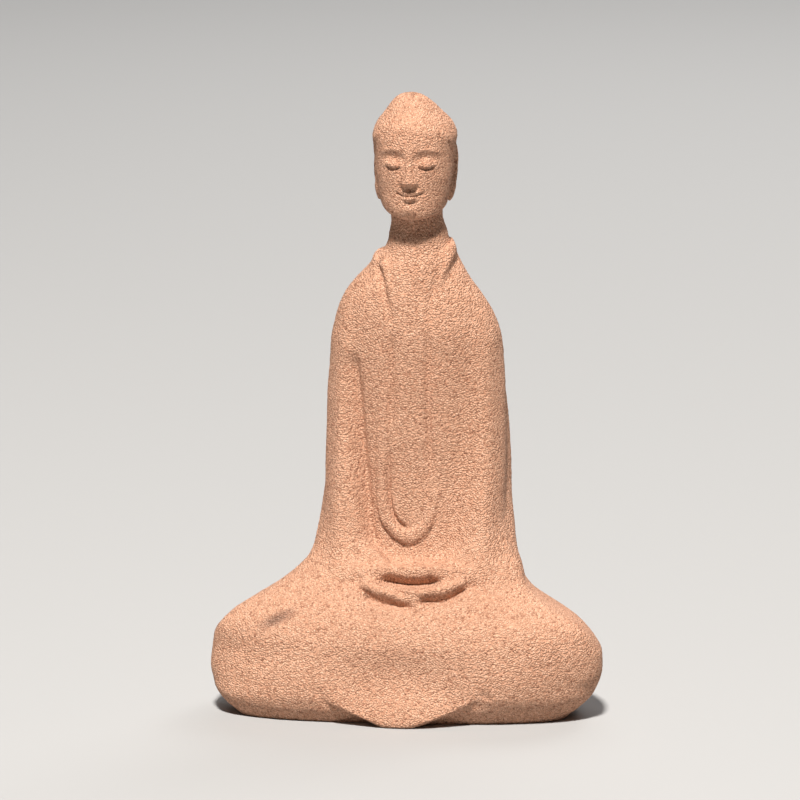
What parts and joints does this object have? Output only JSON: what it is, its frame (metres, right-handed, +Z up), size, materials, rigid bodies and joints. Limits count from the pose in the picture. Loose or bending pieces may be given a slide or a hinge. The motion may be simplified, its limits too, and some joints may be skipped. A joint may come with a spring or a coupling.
{
  "type": "seated buddha figurine",
  "caption": "Small unglazed stoneware figurine of a robed buddha seated cross-legged, hands folded in the lap, with a smooth cap of hair and long ear lobes.",
  "frame": {"origin": "on the floor, under the middle of the figure's bounding box", "axes": "+Z up, the figure faces -Y, and its left hand is towards +X"},
  "size_m": [0.0826, 0.0498, 0.13],
  "materials": {
    "sandy_stoneware": "unglazed, sandy and matt"
  },
  "bodies": {
    "root": {"seated_figure": "sandy_stoneware"}
  },
  "joints": []
}
